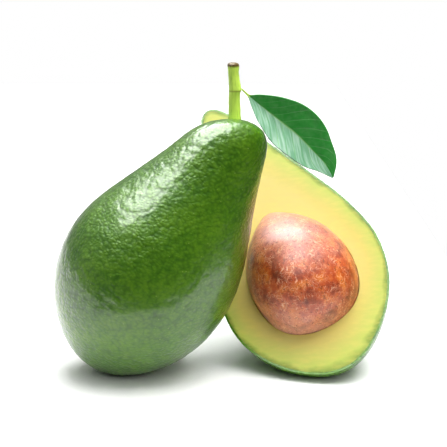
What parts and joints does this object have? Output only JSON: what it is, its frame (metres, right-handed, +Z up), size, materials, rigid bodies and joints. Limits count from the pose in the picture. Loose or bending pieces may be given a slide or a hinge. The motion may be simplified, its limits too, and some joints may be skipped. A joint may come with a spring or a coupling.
{
  "type": "avocado",
  "caption": "Whole pear-shaped green fruit with its twig and leaf, leaning in front of a cut half with its stone; rests on small flat spots.",
  "frame": {"origin": "middle of the bounding box, on the surface that both fruits rest on", "axes": "+Z up, -Y towards the viewer of the cut face, +X from the whole fruit to the half"},
  "size_m": [0.1344, 0.1042, 0.1251],
  "materials": {
    "fruit_skin": "glossy pebbled green fruit skin",
    "half_peel": "thin green peel, satin",
    "flesh": "moist cut flesh, lime at the rim and butter yellow inside",
    "stone_coat": "thin satin seed coat, red-brown with fibres",
    "green_twig": "smooth green twig with a dry brown cut end",
    "leaf_blade": "glossy green leaf with pale veins"
  },
  "bodies": {
    "root": {"whole_fruit": "fruit_skin", "twig": "green_twig", "leaf": "leaf_blade", "half_skin": "half_peel", "half_flesh": "flesh", "half_stone": "stone_coat"}
  },
  "joints": []
}
